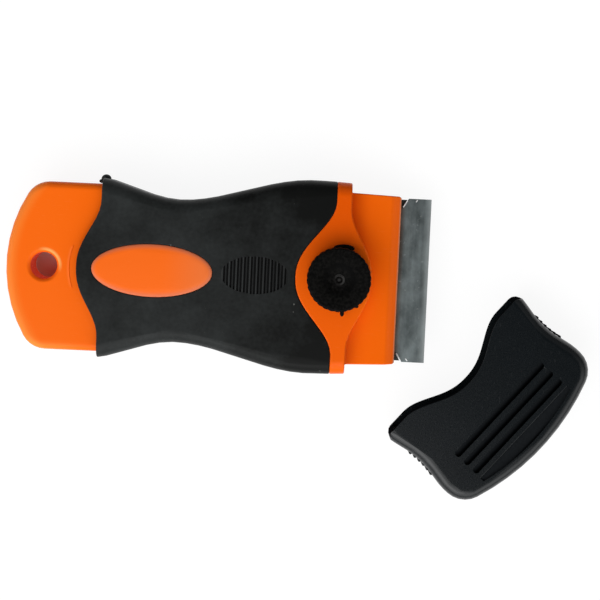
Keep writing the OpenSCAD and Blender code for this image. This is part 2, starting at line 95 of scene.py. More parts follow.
target = Vector((60.65, -5.77, -0.5)) * MM
eye = target + Vector((0, 26, 443.5)) * MM
roll = math.radians(2.6)
forward = (target - eye).normalized()
right = Vector((math.cos(roll), math.sin(roll), 0))
right = (right - forward * right.dot(forward)).normalized()
up = right.cross(forward)

deselect()
bpy.ops.object.camera_add()
camera = bpy.context.active_object
axes = Matrix((right, up, -forward)).transposed().to_4x4()
camera.matrix_world = Matrix.Translation(eye) @ axes
camera.data.lens = 111.76
bpy.context.scene.camera = camera
bpy.context.scene.view_settings.view_transform = "Standard"
print("camera at", [round(c, 3) for c in eye], "with a lens of", camera.data.lens)

# %% [markdown]
# ## Shader sums as Python
# A finish is mostly arithmetic on positions and noise. Wiring each Math node by hand hides that
# arithmetic, so a small class wraps a socket and adds the nodes when it stands in an expression.
# A second class holds one node tree and adds every other kind of node with one method.

# %% A socket that can be calculated with
def plug(socket, value):
    if isinstance(value, Wire):
        socket.id_data.links.new(value.socket, socket)
    elif isinstance(value, tuple) and len(value) == 3 and socket.type == "RGBA":
        socket.default_value = (*value, 1)
    else:
        socket.default_value = value


class Wire:
    def __init__(self, socket):
        self.socket = socket

    def math(self, operation, first, second):
        node = self.socket.id_data.nodes.new("ShaderNodeMath")
        node.operation = operation
        plug(node.inputs[0], first)
        plug(node.inputs[1], second)
        return Wire(node.outputs[0])

    def __add__(self, other):
        return self.math("ADD", self, other)

    def __sub__(self, other):
        return self.math("SUBTRACT", self, other)

    def __rsub__(self, other):
        return self.math("SUBTRACT", other, self)

    def __mul__(self, other):
        return self.math("MULTIPLY", self, other)

    def __pow__(self, other):
        return self.math("POWER", self, other)

    __radd__ = __add__
    __rmul__ = __mul__


# %% A node tree that adds its own nodes, and a material with one
class Tree:
    def __init__(self, tree, space):
        self.tree = tree
        self.point = self.node("ShaderNodeTexCoord", out=space)
        split = self.node("ShaderNodeSeparateXYZ", {}, {"Vector": self.point}, out=None)
        self.x, self.y, self.z = (Wire(socket) for socket in split.outputs)

    def node(self, kind, settings=None, sockets=None, out=0):
        node = self.tree.nodes.new(kind)
        for key, value in (settings or {}).items():
            setattr(node, key, value)
        for key, value in (sockets or {}).items():
            plug(node.inputs[key], value)
        return node if out is None else Wire(node.outputs[out])

    def noise(self, scale, detail, stretch=(1, 1, 1), rough=0.5):
        spot = self.point
        if stretch != (1, 1, 1):
            spot = self.node("ShaderNodeMapping", {}, {"Vector": spot, "Scale": stretch})
        sizes = {"Vector": spot, "Scale": scale, "Detail": detail, "Roughness": rough}
        return self.node("ShaderNodeTexNoise", {}, sizes)

    def ramp(self, value, low, high):
        sockets = {"Value": value, "From Min": low, "From Max": high}
        return self.node("ShaderNodeMapRange", {"interpolation_type": "SMOOTHSTEP"}, sockets)

    def band(self, value, start, full, fade, gone):
        return self.ramp(value, start, full) * (1 - self.ramp(value, fade, gone))

    def axis_gap(self, axis_x):
        aside = self.x - axis_x
        return (aside * aside + self.y * self.y) ** 0.5

    def mix(self, mask, first, second):
        node = self.node("ShaderNodeMix", {"data_type": "RGBA"}, out=None)
        colours = [socket for socket in node.inputs if socket.type == "RGBA"]
        plug(node.inputs[0], mask)
        plug(colours[0], first)
        plug(colours[1], second)
        return Wire(next(socket for socket in node.outputs if socket.type == "RGBA"))

    def bump(self, height, depth, strength):
        sockets = {"Height": height, "Distance": depth, "Strength": strength}
        return self.node("ShaderNodeBump", {}, sockets)


class Finish(Tree):
    def __init__(self, name):
        self.material = bpy.data.materials.new(name)
        self.material.use_nodes = True
        super().__init__(self.material.node_tree, "Object")

    def end(self, **sockets):
        for key, value in sockets.items():
            plug(self.tree.nodes["Principled BSDF"].inputs[key.replace("_", " ")], value)
        print(self.material.name, "has", len(self.tree.nodes), "nodes")
        return self.material


print("finish tools ready")

# %% [markdown]
# ## The floor
# The photograph's ground is plain white with hardly a shadow. Turning the lamps up until the
# floor burns out would bleach the object too. Instead the floor gives a part of its white itself
# to the rays that the camera sees, and keeps a soft shadow from the part that the lamps light.
# Under the hanging hole it gives none, so the hole stays dark.

# %% Floor
floor_z, floor_gap = cad_box[0].z, 0.02 * MM
deselect()
bpy.ops.mesh.primitive_plane_add(size=6, location=(target.x, target.y, floor_z - floor_gap))
floor = bpy.context.active_object
floor.name = "floor"
print("floor at", round(floor_z / MM, 2), "mm")

# %% Floor finish
glow_level, dark_r, open_r = 0.9, 8 * MM, 8.8 * MM
pale = Finish("pale_floor")
ray = pale.node("ShaderNodeLightPath", out=None)
seen_ray = Wire(ray.outputs["Is Camera Ray"]) + Wire(ray.outputs["Is Glossy Ray"])
seen_ray = seen_ray + Wire(ray.outputs["Is Transmission Ray"])
centred = pale.node("ShaderNodeNewGeometry", out="Position")
from_hole = pale.node("ShaderNodeVectorMath", {"operation": "LENGTH"}, {0: centred}, out="Value")
open_floor = pale.ramp(from_hole, dark_r, open_r)
glow = pale.node("ShaderNodeEmission", {}, {"Color": (1.0, 1.0, 1.0), "Strength": glow_level})
thin = pale.node("ShaderNodeBsdfDiffuse", {}, {"Color": (0.14, 0.14, 0.14)})
full = pale.node("ShaderNodeBsdfDiffuse", {}, {"Color": (0.8, 0.8, 0.8)})
lit = pale.node("ShaderNodeAddShader", {}, {0: glow, 1: thin})
ground = pale.node("ShaderNodeMixShader", {}, {"Fac": seen_ray * open_floor, 1: full, 2: lit})
plug(pale.tree.nodes["Material Output"].inputs["Surface"], ground)
floor.data.materials.append(pale.material)
print("floor gives", glow_level, "of its white itself")

# %% [markdown]
# ## Light
# The photograph is lit almost evenly, with a little more light from the bottom of the picture:
# the lower fillets of the grip are light and the upper ones are dark. A lamp alone would throw
# the knob's shadow on the plate. So most of the light comes from a wide band of the sky, and one
# large lamp adds the direction. The sky is dark overhead, which flat black tops mirror.

# %% Lamp
def soft_lamp(name, azimuth, elevation, away, size, watts):
    a, e = math.radians(azimuth), math.radians(elevation)
    aim = Vector((math.cos(a) * math.cos(e), math.sin(a) * math.cos(e), math.sin(e)))
    deselect()
    bpy.ops.object.light_add(type="AREA", location=target + aim * away)
    lamp = bpy.context.active_object
    lamp.name = name
    lamp.rotation_mode = "QUATERNION"
    lamp.rotation_quaternion = aim.to_track_quat("Z", "Y")
    lamp.data.shape = "DISK"
    lamp.data.size = size
    lamp.data.energy = watts
    print(name, "gives", watts, "W from", away, "m")


soft_lamp("key_lamp", azimuth=-118, elevation=55, away=0.5, size=0.5, watts=1.0)

# %% Sky
world = bpy.data.worlds.new("studio")
bpy.context.scene.world = world
world.use_nodes = True
sky = Tree(world.node_tree, "Generated")
band_level, top_level = 1.12, 0.04
bright_band = sky.band(sky.z, 0.0, 0.35, 0.70, 0.93)
tilt = 1.75 - 1.6 * sky.ramp(sky.x * 0.25 + sky.y * 0.9, -0.7, 0.7)
level = top_level + band_level * bright_band * tilt
to_camera = Wire(sky.node("ShaderNodeLightPath", out=None).outputs["Is Camera Ray"])
background = world.node_tree.nodes["Background"]
plug(background.inputs["Color"], (1.0, 1.0, 1.0))
plug(background.inputs["Strength"], level + (1 - level) * to_camera)
print("sky level from", top_level, "overhead to", band_level, "in the band")

# %% [markdown]
# ## Orange plastic
# The shells are moulded in a saturated orange. Painted light makes it a little paler at the
# tail. Painted shade makes it deeper over the collar, most on its upper side, and at the nose's
# bevel. A painted sheen pales the oval pad's far end. A flat colour would look like paint. Slow
# noise shifts the pigment, fine noise gives the mould's grain, and stretched noise adds hairline
# rubs. Painted highlights lighten the rims of the tail, the pad and the hanging hole, the nose's
# edge and one side of the raised line. Each rim is found by its distance from a centre, so no
# texture has to be painted. The wall of the hanging hole is painted a darker red and given a
# painted glow of dull red.

# %% Orange: noise and the zones along the handle
orange = Finish("orange_plastic")
drift = orange.noise(38, 3)
grain = orange.noise(3200, 2)
rubs = orange.ramp(orange.noise(420, 2, (1, 9, 1)), 0.62, 0.74)
tail = 1 - orange.ramp(orange.x, -2 * MM, 14 * MM)
# Painted shade: deeper orange over the collar, most on its upper side, less on the plate.
front = orange.ramp(orange.x, 46 * MM, 68 * MM)
plate = orange.ramp(orange.x, 71 * MM, 77 * MM)
# Painted shade on the nose's bevel and a painted highlight on its rounded rim.
nose_bevel_shade = orange.ramp(orange.x, 80.9 * MM, 81.5 * MM)
nose_rim_highlight = orange.ramp(orange.x, 83.1 * MM, 83.45 * MM)
across = orange.ramp(orange.y, -24 * MM, 24 * MM)
print("orange zones take", len(orange.tree.nodes), "nodes")

# %% Orange: the tail's rim and the oval pad
tail_centre = 24 * MM
# Painted highlight on the tail's rim, at its end and along its lower side.
tail_end = orange.ramp(orange.axis_gap(tail_centre), 29.4 * MM, 32.4 * MM)
tail_side = orange.ramp(orange.y * -1, 17.0 * MM, 19.8 * MM)
tail_rim_highlight = (tail_end + tail_side) * tail

pad_x, pad_half_length, pad_half_width = 25.6 * MM, 14.2 * MM, 6.2 * MM
along = (orange.x - pad_x) * (1 / pad_half_length)
athwart = orange.y * (1 / pad_half_width)
oval = along * along + athwart * athwart
on_pad = (1 - orange.ramp(oval, 1.0, 1.1)) * orange.ramp(orange.z, 5.6 * MM, 6.2 * MM)
# Painted sheen at the pad's far end and a painted highlight around its rim.
pad_far_sheen = on_pad * orange.ramp(orange.x, 27 * MM, 40 * MM)
pad_rim_highlight = on_pad * orange.ramp(oval, 0.55 + along * along * 0.33, 1.0)
print("tail and pad bring them to", len(orange.tree.nodes))

# %% Orange: the hanging hole and the line beside the grip
hole_gap = (orange.x * orange.x + orange.y * orange.y) * (1 / (MM * MM))
under_rim = 1 - orange.ramp(orange.z, 4.2 * MM, 5.2 * MM)
# Painted shade and a painted glow: the hole's wall is a darker red and glows a dull red.
hole_glow_and_shade = (1 - orange.ramp(hole_gap, 10.2, 11.4)) * under_rim
# Painted highlight on the upper right side of the hanging hole's rim.
hole_side = orange.ramp(orange.x + orange.y, 2.0 * MM, 5.2 * MM)
on_top = orange.ramp(orange.z, 4.2 * MM, 5.0 * MM)
hole_rim_highlight = orange.band(hole_gap, 11.5, 14.0, 15.5, 20.5) * hole_side * on_top

# Painted highlight along one side of the raised line.
line_centre = 20.4 * MM
line_gap = orange.axis_gap(line_centre)
line_reach = 1 - orange.ramp(orange.y * orange.y, 19 * MM * MM, 26 * MM * MM)
line_side_highlight = orange.band(line_gap, 14.3 * MM, 14.5 * MM, 14.7 * MM, 15.1 * MM) * tail * line_reach
print("hole and line bring them to", len(orange.tree.nodes))

# %% Orange: colours
# Painted light: the tail is a little paler.
body = orange.mix(tail * 0.6 + drift * 0.5 - 0.2, (0.96, 0.140, 0.003), (0.98, 0.152, 0.007))
for zone, shade in (
    (front * (0.3 + across * 0.35) * (1 - plate * 0.9), (0.66, 0.066, 0.0005)),
    (nose_bevel_shade * 0.15, (0.62, 0.085, 0.004)),
    (nose_rim_highlight * 0.6, (0.62, 0.30, 0.17)),
    (tail_rim_highlight * 0.8, (0.96, 0.245, 0.034)),
    (hole_rim_highlight * 0.9, (0.98, 0.40, 0.11)),
    (line_side_highlight * 0.8, (0.98, 0.215, 0.040)),
    (on_pad * 0.5, (0.98, 0.170, 0.022)),
    (pad_far_sheen * 0.6, (0.78, 0.200, 0.060)),
    (pad_rim_highlight * 0.75, (0.60, 0.175, 0.095)),
    (rubs * 0.04, (0.95, 0.28, 0.09)),
):
    body = orange.mix(zone, body, shade)
orange_plastic = orange.end(
    # The hole's wall: painted shade as a darker red, and a painted glow from the emission below.
    Base_Color=orange.mix(hole_glow_and_shade, body, (0.42, 0.050, 0.028)),
    Roughness=0.20 + drift * 0.06 + rubs * 0.05,
    Normal=orange.bump(grain, 0.012 * MM, 0.5),
    Emission_Color=orange.mix(hole_glow_and_shade, (0.0, 0.0, 0.0), (0.21, 0.014, 0.005)),
    Emission_Strength=1.0,
    Specular_IOR_Level=0.09,
)

# %% [markdown]
# ## Soft grip
# The grip is a charcoal rubber, dull and slightly cloudy, with a little dust on it. The dust is
# the bright tail of a fine noise, so it comes in small specks and never in a pattern. Painted
# light makes the rubber lighter towards the rear, more so on its upper side. On the thumb oval
# the grooves carry painted shade, and a painted highlight makes every second rib brighter, with
# deeper painted shade in the groove after it, fading towards the front. A wave of two rib
# pitches could do that, but a ping-pong sum has straight flanks, so the shade stays even across
# each rib.

# %% Soft grip: rubber and dust
grip = Finish("soft_grip")
haze = grip.noise(60, 5)
smudge = grip.noise(190, 4)
speckle = grip.noise(1100, 2)
skin = grip.noise(2600, 2)
patches = grip.ramp(grip.noise(28, 3), 0.35, 0.7)
dust = grip.ramp(grip.noise(900, 1), 0.80, 0.86)
# Painted light: the rubber is lighter towards the rear, more so on its upper side.
rear = 1 - grip.ramp(grip.x, 30 * MM, 58 * MM)
upper = grip.ramp(grip.y, -12 * MM, 14 * MM)
clouds = patches * 0.45 + haze * 0.7 + smudge * 0.8 + speckle * 0.5
lightness = rear * (0.42 + upper * 0.40) + clouds - 1.24
rubber = grip.mix(lightness, (0.0035, 0.0039, 0.0036), (0.0260, 0.0290, 0.0290))
print("rubber takes", len(grip.tree.nodes), "nodes")

# %% Soft grip: ribs of the thumb oval
rib_pitch, first_rib = 0.8 * MM, 50.2 * MM
thumb_centre, thumb_half_length, thumb_half_width = 49.8 * MM, 8 * MM, 4.4 * MM


def alternate(start):
    sockets = {0: grip.x - start, 1: rib_pitch}
    swing = grip.node("ShaderNodeMath", {"operation": "PINGPONG"}, sockets)
    return grip.ramp(swing, rib_pitch * 0.25, rib_pitch * 0.75)


thumb_x = (grip.x - thumb_centre) * (1 / thumb_half_length)
thumb_y = grip.y * (1 / thumb_half_width)
on_oval = 1 - grip.ramp(thumb_x * thumb_x + thumb_y * thumb_y, 0.95, 1.05)
# Painted shade in the grooves and painted highlights on every second rib, fading towards the
# front.
rib_height = grip.ramp(grip.z, 6.45 * MM, 6.95 * MM)
fade = 1 - grip.ramp(grip.x, 42 * MM, 60 * MM) * 0.4
second_rib, second_gap = alternate(first_rib), alternate(first_rib - rib_pitch / 2)
rib_painted_highlight = grip.mix(second_rib, (0.028, 0.030, 0.030), (0.013, 0.014, 0.014))
groove_painted_shade = grip.mix(second_gap, (0.0060, 0.0063, 0.0063), (0.0003, 0.0003, 0.0003))
rib_shade = grip.mix(rib_height * fade, groove_painted_shade, rib_painted_highlight)
grip_shade = grip.mix(on_oval * 0.9, rubber, rib_shade)
soft_grip = grip.end(
    Base_Color=grip.mix(dust * 0.7, grip_shade, (0.16, 0.16, 0.15)),
    Roughness=0.36 + haze * 0.12,
    Normal=grip.bump(skin, 0.02 * MM, 0.6),
    Specular_IOR_Level=0.12,
)

# %% [markdown]
# ## Black plastic
# The cap is a harder black with a faint blue cast. The lower jaw is a greyer one, lightened as
# painted light so that it shows grey in the shade under the blade's notches. Both have the
# fine grain of a spark eroded mould. One function makes both, so that each keeps its own shade,
# gloss and grain.

# %% Black plastics
def black_plastic(name, shade, light_shade, roughness, gloss, grain_depth):
    black = Finish(name)
    cloud = black.noise(120, 4)
    spark = black.noise(2400, 3)
    scuff = black.ramp(black.noise(500, 3, (6, 1, 1)), 0.60, 0.75)
    moulded = black.mix(cloud, shade, light_shade)
    return black.end(
        Base_Color=black.mix(scuff * 0.25, moulded, (0.022, 0.023, 0.025)),
        Roughness=roughness + spark * 0.12 + scuff * 0.06,
        Normal=black.bump(spark, grain_depth, 0.8),
        Specular_IOR_Level=gloss,
    )


cap_black = black_plastic(
    "cap_black", (0.0014, 0.0030, 0.0040), (0.0034, 0.0054, 0.0070),
    roughness=0.20, gloss=0.42, grain_depth=0.008 * MM)
# Painted light: the lower jaw is lightened so that it shows grey in the shade under the notches.
jaw_black = black_plastic(
    "jaw_black", (0.030, 0.032, 0.030), (0.050, 0.052, 0.049),
    roughness=0.42, gloss=0.2, grain_depth=0.02 * MM)

# %% [markdown]
# ## Two duller blacks
# The knob is the dullest piece, because its grain scatters the light. Painted shade darkens the
# wall of its dish, more on one side, and a painted highlight lights the mark of the mould's gate
# in the middle, more on one side than on the other. The floors of the cap's slots and its mouth
# mirror nothing; painted shade darkens the slot floors with depth, and the mouth keeps one even
# dark grey.

# %% Knob black
knob_axis = Vector((69.5, 0, 0)) * MM

worn = Finish("knob_black")
grit = worn.noise(1500, 3, rough=0.7)
spin_gap = worn.axis_gap(knob_axis.x)


def facing(width):
    return worn.ramp(worn.x - knob_axis.x + worn.y, -width, width)


# Painted shade on the dish wall and a painted highlight on the gate mark, both more on one side.
in_dish = worn.band(spin_gap, 2.4 * MM, 3.0 * MM, 3.6 * MM, 4.3 * MM)
gate_rim = worn.band(spin_gap, 0.80 * MM, 0.95 * MM, 1.2 * MM, 1.4 * MM)
gate_dot = 1 - worn.ramp(spin_gap, 0.25 * MM, 0.45 * MM)
gate = gate_rim * (0.1 + facing(1.2 * MM) * 1.2) + gate_dot * 0.5
dish_shade = in_dish * (0.5 + facing(5 * MM) * 0.4)
knob_shade = worn.mix(grit * 3.0 - 1.2, (0.0005, 0.0005, 0.0004), (0.0076, 0.0071, 0.0065))
knob_shade = worn.mix(dish_shade, knob_shade, (0.0003, 0.0003, 0.0003))
knob_black = worn.end(
    Base_Color=worn.mix(gate * grit, knob_shade, (0.085, 0.083, 0.080)),
    Roughness=0.42 + grit * 0.2,
    Normal=worn.bump(grit, 0.06 * MM, 0.8),
    Specular_IOR_Level=0.05,
)

# %% Slot black
cap_top, cap_turn = 4.1 * MM, math.radians(-40.3)
cap_mouth = Vector((97.5, -19.6, 0)) * MM
cap_along = Vector((math.cos(cap_turn), math.sin(cap_turn), 0))
mouth_light = 0.35

deep = Finish("slot_black")
reach = (deep.x - cap_mouth.x) * cap_along.x + (deep.y - cap_mouth.y) * cap_along.y
in_bow = deep.ramp(reach, 22.6 * MM, 23.0 * MM)
in_mouth = 1 - deep.ramp(reach, 9 * MM, 13 * MM)
# Painted shade: the slot floors darken with depth, and the mouth keeps one even dark grey.
slope = deep.ramp(deep.z, cap_top - 0.75 * MM, cap_top - 0.25 * MM)
bow_slope = deep.ramp(deep.z, cap_top - 0.80 * MM, cap_top - 0.66 * MM)
rise = slope + (bow_slope - slope) * in_bow
rise = rise + (mouth_light - rise) * in_mouth
slot_grain = deep.noise(1800, 3)
slot_light = rise * (0.6 + slot_grain * 0.6)
slot_black = deep.end(
    Base_Color=deep.mix(slot_light, (0.0006, 0.0007, 0.0008), (0.0110, 0.0125, 0.0140)),
    Roughness=0.6 + slot_grain * 0.2,
    Normal=deep.bump(slot_grain, 0.01 * MM, 0.5),
    Specular_IOR_Level=0.0,
)

# %% [markdown]
# ## Steel
# The blade is rolled strip: grey, slightly mottled, with fine lines along its length and a paler
# ground edge. Beside the orange jaw it has a warm tinge, a painted reflection of the jaw and
# painted shade under its nose. The fasteners are zinc plated, which is brighter and smoother.
# Both are metals, so their colour is in the reflection, and roughness does most of the work.

# %% Blade steel
edge_x, edge_grind = 90.85 * MM, 1.5 * MM

strip = Finish("blade_steel")
mottle = strip.noise(260, 5, (1, 0.6, 1), 0.6)
lines = strip.noise(1500, 2, (1, 0.03, 1))
pits = strip.ramp(strip.noise(1400, 2), 0.66, 0.74)
# Painted reflection of the orange jaw, and painted shade under its nose, beside the jaw.
jaw_reflection_shade = 1 - strip.ramp(strip.x, 83.9 * MM, 84.9 * MM)
ground_edge = strip.ramp(strip.x, edge_x - edge_grind - 0.4 * MM, edge_x + 0.6 * MM)
rolling = mottle * 1.45 + lines * 0.35 - 0.4
rolled = strip.mix(rolling, (0.044, 0.054, 0.054), (0.32, 0.37, 0.375))
rolled = strip.mix(jaw_reflection_shade * 0.5, rolled, (0.15, 0.085, 0.05))
rolled = strip.mix(pits * 0.25, rolled, (0.5, 0.52, 0.52))
blade_steel = strip.end(
    Base_Color=strip.mix(ground_edge * 0.75, rolled, (0.50, 0.54, 0.54)),
    Metallic=1.0,
    Roughness=0.36 + mottle * 0.2 + ground_edge * 0.08,
    Normal=strip.bump(lines, 0.004 * MM, 0.5),
)

# %% Zinc
zinc = Finish("zinc_plate")
bloom = zinc.noise(400, 4)
fastener_zinc = zinc.end(
    Base_Color=zinc.mix(bloom, (0.42, 0.43, 0.44), (0.62, 0.63, 0.64)),
    Metallic=1.0,
    Roughness=0.28 + bloom * 0.2,
    Normal=zinc.bump(zinc.noise(3000, 2), 0.005 * MM, 0.4),
)

# %% [markdown]
# ## Moulded pieces
# The shells, the grips, the cap and the lower jaw already have the right form as solids, but
# their edges are knife sharp and no mould makes those. Modelling them again from a cube would
# only lose their true size. Each one is copied, its triangles are merged into clean faces, and
# its outer edges are bevelled, as one would with an imported part. Weighted normals then keep
# the large flats flat, so that the light rolls only over the rounded edges.

# %% Pick parts of a mesh and round edges
sharp_angle = math.radians(38)


def pick(piece, kind, test):
    bpy.ops.mesh.select_all(action="DESELECT")
    bpy.ops.mesh.select_mode(type=kind)
    mesh = bmesh.from_edit_mesh(piece.data)
    parts = {"VERT": mesh.verts, "EDGE": mesh.edges, "FACE": mesh.faces}[kind]
    chosen = [part for part in parts if test(part)]
    for part in chosen:
        part.select_set(True)
    mesh.select_flush_mode()
    bmesh.update_edit_mesh(piece.data)
    return len(chosen)


def middle(edge):
    return (edge.verts[0].co + edge.verts[1].co) / 2 / MM


def sharp_outside(edge, side, shortest=0.4):
    faces = edge.link_faces
    if len(faces) != 2 or edge.calc_length() < shortest * MM:
        return False
    outward = all(face.normal.z * side > -0.1 for face in faces)
    return outward and faces[0].normal.angle(faces[1].normal, 0) > sharp_angle


def round_edges(piece, radius, segments, test):
    count = pick(piece, "EDGE", test)
    bpy.ops.mesh.bevel(offset=radius, segments=segments, profile=0.5, clamp_overlap=False)
    print(piece.name, "has", count, "edges rounded to", round(radius / MM, 2), "mm")


# %% Copy a solid and finish the copy
def clean_copy(node, name):
    deselect()
    solid = frame["nodes"][node]
    solid.select_set(True)
    bpy.context.view_layer.objects.active = solid
    bpy.ops.object.duplicate()
    piece = bpy.context.active_object
    piece.name = name
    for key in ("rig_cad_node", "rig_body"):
        del piece[key]
    bpy.ops.object.mode_set(mode="EDIT")
    bpy.ops.mesh.select_all(action="SELECT")
    bpy.ops.mesh.remove_doubles(threshold=0.01 * MM)
    bpy.ops.mesh.dissolve_degenerate(threshold=0.02 * MM)
    bpy.ops.mesh.dissolve_limited(angle_limit=math.radians(1.5))
    return piece


def dress(piece, body, finish, node=None, smooth=32):
    deselect()
    piece.select_set(True)
    bpy.context.view_layer.objects.active = piece
    bpy.ops.object.shade_smooth_by_angle(angle=math.radians(smooth))
    bpy.ops.object.modifier_add(type="WEIGHTED_NORMAL")
    piece.modifiers[-1].keep_sharp = True
    bpy.ops.object.modifier_apply(modifier=piece.modifiers[-1].name)
    piece.data.materials.clear()
    piece.data.materials.append(finish)
    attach(piece, body)
    if node:
        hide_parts(node)
    print(piece.name, "has", len(piece.data.polygons), "faces")


# %% [markdown]
# ## The two shells
# The collar, the front plate and the oval pad end in small even fillets. The rim of the hanging
# hole is cut with a chamfer in the solid, and it is left as it is.

# %% Shells
outer_r = 0.3 * MM


def upper_edge(edge):
    return sharp_outside(edge, 1) and middle(edge).z > 1


def lower_edge(edge):
    return sharp_outside(edge, -1) and middle(edge).z < -1


top_shell = clean_copy("upper_shell", "top_shell")
round_edges(top_shell, outer_r, 3, upper_edge)
dress(top_shell, "handle", orange_plastic, "upper_shell")

under_shell = clean_copy("lower_shell", "under_shell")
round_edges(under_shell, outer_r, 3, lower_edge)
dress(under_shell, "handle", orange_plastic, "lower_shell")

# %% [markdown]
# ## The grips
# The thumb oval's ribs are half a millimetre wide, so they take a finer rounding than the
# outer edges of the rubber.

# %% Grips
rib_r = 0.12 * MM


def on_thumb_oval(edge):
    spot = middle(edge)
    return 41 < spot.x < 59 and abs(spot.y) < 5 and spot.z > 6


def rib_edge(edge):
    return on_thumb_oval(edge) and sharp_outside(edge, 1, 0.05) and middle(edge).z > 6.9


top_grip = clean_copy("upper_grip", "top_grip")
round_edges(top_grip, outer_r, 3, lambda e: upper_edge(e) and not on_thumb_oval(e))
round_edges(top_grip, rib_r, 2, rib_edge)
dress(top_grip, "handle", soft_grip, "upper_grip")

under_grip = clean_copy("lower_grip", "under_grip")
round_edges(under_grip, outer_r, 3, lower_edge)
dress(under_grip, "handle", soft_grip, "lower_grip")

# %% [markdown]
# ## Lower jaw and cap
# The lower jaw shows only past the blade's two ends. The cap's mouth has a crisp lip, while the
# walls of its pull slots are a little softer. The last slot follows the closed end, and the land
# beside it is too narrow for a bevel: two bevels that meet there would fold the face over.

# %% Lower jaw
crisp_r = 0.2 * MM
lower_jaw = clean_copy("clamp_plate", "lower_jaw")
round_edges(lower_jaw, crisp_r, 2, lambda e: sharp_outside(e, -1, 1.0))
dress(lower_jaw, "clamp", jaw_black, "clamp_plate")

# %% Cap
cap_across = Vector((-math.sin(cap_turn), math.cos(cap_turn), 0))
bow_back, bow_inner, bow_land, bow_outer = 28.95, 54.6, 55.3, 55.8


def on_cap(spot):
    return [(spot - cap_mouth).dot(way) / MM for way in (cap_along, cap_across)]


def by_bow(edge):
    u, v = on_cap(middle(edge) * MM)
    return abs(v) < 16 and bow_inner < math.hypot(u + bow_back, v) < bow_outer


def cap_edge(edge):
    return sharp_outside(edge, 1) and middle(edge).z > 3.5 and not by_bow(edge)


cap = clean_copy("blade_cap", "cap")
round_edges(cap, crisp_r, 3, cap_edge)
dress(cap, "cap", cap_black, "blade_cap")

# %% The cap's slots and mouth
# Faces that mirror nothing and take the slot finish's painted shade.
def matte_and_shaded(face):
    spot = face.calc_center_median()
    u, v = on_cap(spot)
    over_slots = u > 14 and abs(v) < 15.2 and math.hypot(u + bow_back, v) < bow_land
    sunk = 3.2 * MM < spot.z < cap_top - 0.1 * MM and face.normal.z > 0.5
    return (over_slots and sunk) or face.normal.dot(cap_along) < -0.35


cap.data.materials.append(slot_black)
cap.active_material_index = 1
bpy.ops.object.mode_set(mode="EDIT")
dull = pick(cap, "FACE", matte_and_shaded)
bpy.ops.object.material_slot_assign()
bpy.ops.object.mode_set(mode="OBJECT")
print("cap has", dull, "unpolished faces")

# %% [markdown]
# ## The blade
# A stamped blade has a slight burr at its two notched ends. A bevel softens the top edges of the
# notches, and a thin round bar, half sunk in the blade, makes each burr. Its near-white steel is
# a painted highlight, the glint of the burr. The cutting edge itself stays sharp.

# %% Blade
def at_notch(edge):
    spot = middle(edge)
    return abs(spot.y) > 16.5 and spot.x < 88 and spot.z > -0.45


strip_blade = clean_copy("blade", "strip_blade")
round_edges(strip_blade, 0.1 * MM, 2, lambda e: at_notch(e) and sharp_outside(e, 1))
dress(strip_blade, "blade", blade_steel, "blade")

# %% Sheared steel with a painted glint
# Painted highlight: the near-white, mostly diffuse colour stands in for the burrs' glint.
sheared = Finish("glint_steel")
tear = sheared.noise(2500, 3)
glint_steel = sheared.end(
    Base_Color=sheared.mix(tear, (0.72, 0.74, 0.74), (0.98, 0.98, 0.98)),
    Metallic=0.35,
    Roughness=0.22 + tear * 0.2,
    Normal=sheared.bump(tear, 0.01 * MM, 0.5),
)

# %% Burrs on the sheared edges
blade_top = -0.375 * MM


def end_rim(edge):
    corners = [len(face.verts) for face in edge.link_faces]
    return min(corners) == 4 < max(corners)


def burr(name, start, stop, radius):
    start, stop = (Vector((*spot, 0)) * MM + Vector((0, 0, blade_top)) for spot in (start, stop))
    way = stop - start
    deselect()
    bpy.ops.mesh.primitive_cylinder_add(
        vertices=16, radius=radius * MM, depth=way.length, location=(start + stop) / 2,
        rotation=way.to_track_quat("Z", "Y").to_euler())
    piece = bpy.context.active_object
    piece.name = name
    bpy.ops.object.transform_apply(location=True, rotation=True, scale=True)
    bpy.ops.object.mode_set(mode="EDIT")
    round_edges(piece, radius * 0.6 * MM, 3, end_rim)
    bpy.ops.object.mode_set(mode="OBJECT")
    dress(piece, "blade", glint_steel, smooth=60)


burr("burr_left", (84.15, 17.4), (85.2, 19.15), 0.15)
burr("burr_right", (84.15, -17.4), (85.3, -19.3), 0.17)
burr("burr_left_tip", (87.2, 18.75), (87.5, 19.3), 0.12)
burr("burr_right_tip", (86.4, -18.6), (86.9, -19.2), 0.12)

# %% [markdown]
# ## The thumb knob
# The knob is turned round, so it starts as a cylinder of its true size. Insets and a sunk ring
# make the dish with the gate mark of the mould in its middle. Every sixth corner of the rim is
# drawn in, which leaves thirty shallow finger grooves.

# %% Knob body
knob_r, knob_low, knob_top, knob_rim = 7.5 * MM, 7.1 * MM, 12.1 * MM, 0.6 * MM
dish_r, dish_floor, dish_slope = 4.2 * MM, 0.6 * MM, 1.4 * MM
gate_r, gate_lip, gate_land = 1.0 * MM, 0.15 * MM, 0.35 * MM
knob_corners = 180

